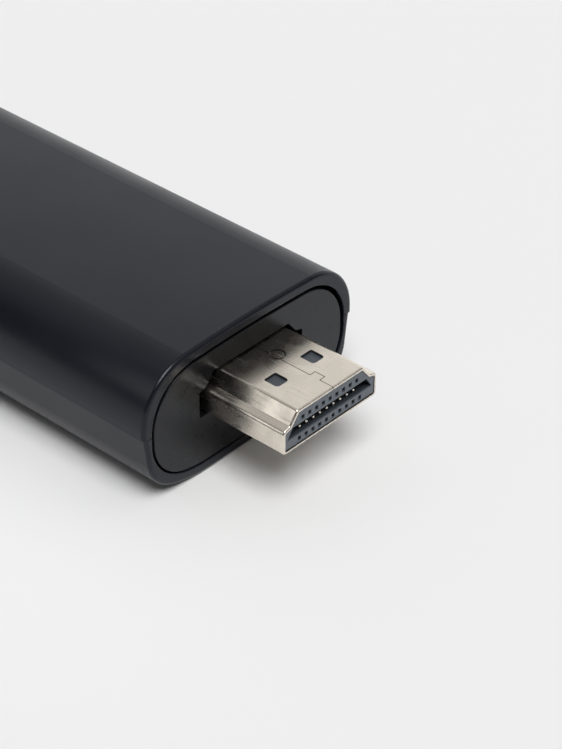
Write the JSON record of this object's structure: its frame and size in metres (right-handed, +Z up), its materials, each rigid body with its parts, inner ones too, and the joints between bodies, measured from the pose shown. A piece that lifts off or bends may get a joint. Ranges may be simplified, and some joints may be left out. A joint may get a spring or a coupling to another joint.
{
  "type": "streaming stick",
  "caption": "Slim plug-in media stick: a rounded two-part casing with a type A video plug at one end, a small power socket in its side and its circuit board inside.",
  "frame": {"origin": "on the resting face, in the middle of the overall length and width, the plug included", "axes": "+X runs along the stick towards the tip of the video plug, +Y across it away from the power socket, +Z up from the resting face"},
  "size_m": [0.0924, 0.0308, 0.0158],
  "materials": {
    "upper_casing": "fine matt grain",
    "lower_casing": "fine matt grain",
    "plate": "satin",
    "plug_metal": "bright nickel plate",
    "insulator": "satin",
    "contacts": "gold plated",
    "board": "green solder resist",
    "screws": "zinc plated",
    "chips": "matt moulded",
    "shield": "tinned sheet",
    "thermal_pads": "soft matt",
    "spreaders": "rolled sheet",
    "socket_metal": "plated sheet",
    "socket_moulding": "satin",
    "antennas": "glazed ceramic",
    "inductors": "sintered",
    "capacitors": "fired ceramic",
    "resistors": "fired film",
    "crystals": "sealed metal lid",
    "lamp": "cast resin",
    "light_pipe": "clear moulding"
  },
  "bodies": {
    "root": {"upper_shell": "upper_casing", "lower_shell": "lower_casing", "end_plate": "plate", "plug_shell": "plug_metal", "plug_insulator": "insulator", "plug_contacts_upper": "contacts", "plug_contacts_lower": "contacts", "circuit_board": "board", "board_screws": "screws", "processor": "chips", "memory_chip_upper": "chips", "memory_chip_lower": "chips", "storage_chip": "chips", "power_chip": "chips", "upper_shield_frame": "shield", "upper_shield_lid": "shield", "lower_shield_frame": "shield", "lower_shield_lid": "shield", "processor_thermal_pad": "thermal_pads", "storage_thermal_pad": "thermal_pads", "upper_thermal_pad": "thermal_pads", "lower_thermal_pad": "thermal_pads", "upper_heat_spreader": "spreaders", "lower_heat_spreader": "spreaders", "power_socket_shell": "socket_metal", "power_socket_tongue": "socket_moulding", "power_socket_contacts": "contacts", "radio_board": "board", "radio_cover": "shield", "antenna_near": "antennas", "antenna_far": "antennas", "power_inductors": "inductors", "large_capacitors": "capacitors", "small_capacitors": "capacitors", "resistors": "resistors", "surge_arrays": "chips", "system_crystal": "crystals", "radio_crystal": "crystals", "indicator_lamp": "lamp", "light_pipe": "light_pipe"}
  },
  "joints": []
}
